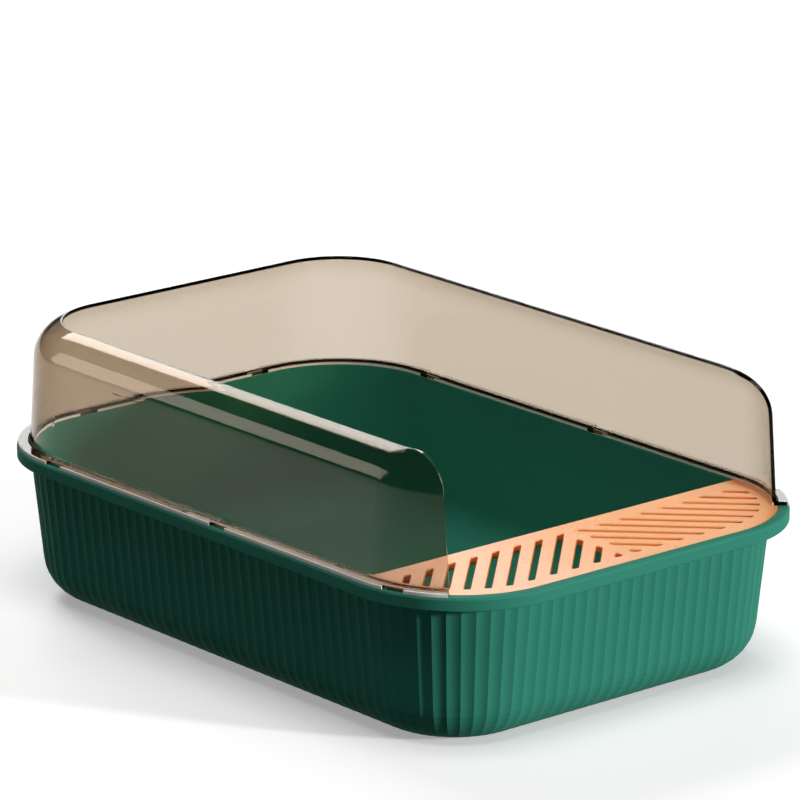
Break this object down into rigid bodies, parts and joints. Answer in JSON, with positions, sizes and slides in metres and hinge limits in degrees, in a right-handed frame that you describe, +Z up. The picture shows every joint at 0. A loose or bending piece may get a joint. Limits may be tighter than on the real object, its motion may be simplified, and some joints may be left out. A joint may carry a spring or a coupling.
{
  "type": "litter box",
  "caption": "Open-topped cat litter box: a fluted tray, a clear U-shaped surround standing on its rim and a slotted step grate across the entrance.",
  "frame": {"origin": "on the floor, under the middle of the rim", "axes": "+Z up, -Y out of the entrance, +X to the right for someone who faces the back"},
  "size_m": [0.342, 0.5, 0.1938],
  "materials": {
    "tray_plastic": "fine matte emerald green moulded plastic",
    "smoke_plastic": "polished clear plastic with a smoky brown tint",
    "grate_plastic": "satin orange moulded plastic"
  },
  "bodies": {
    "tray": {"litter_tray": "tray_plastic"},
    "surround": {"surround": "smoke_plastic"},
    "grate": {"step_grate": "grate_plastic"}
  },
  "joints": [
    {"name": "surround_lift", "type": "slide", "parent": "tray", "child": "surround", "axis": [0, 0, 1], "range_m": [0, 0.14]},
    {"name": "grate_lift", "type": "slide", "parent": "tray", "child": "grate", "axis": [0, 0, 1], "range_m": [0, 0.07]}
  ],
  "couplings": [
    {"joint": "grate_lift", "follows": "surround_lift", "ratio": 0.5}
  ]
}
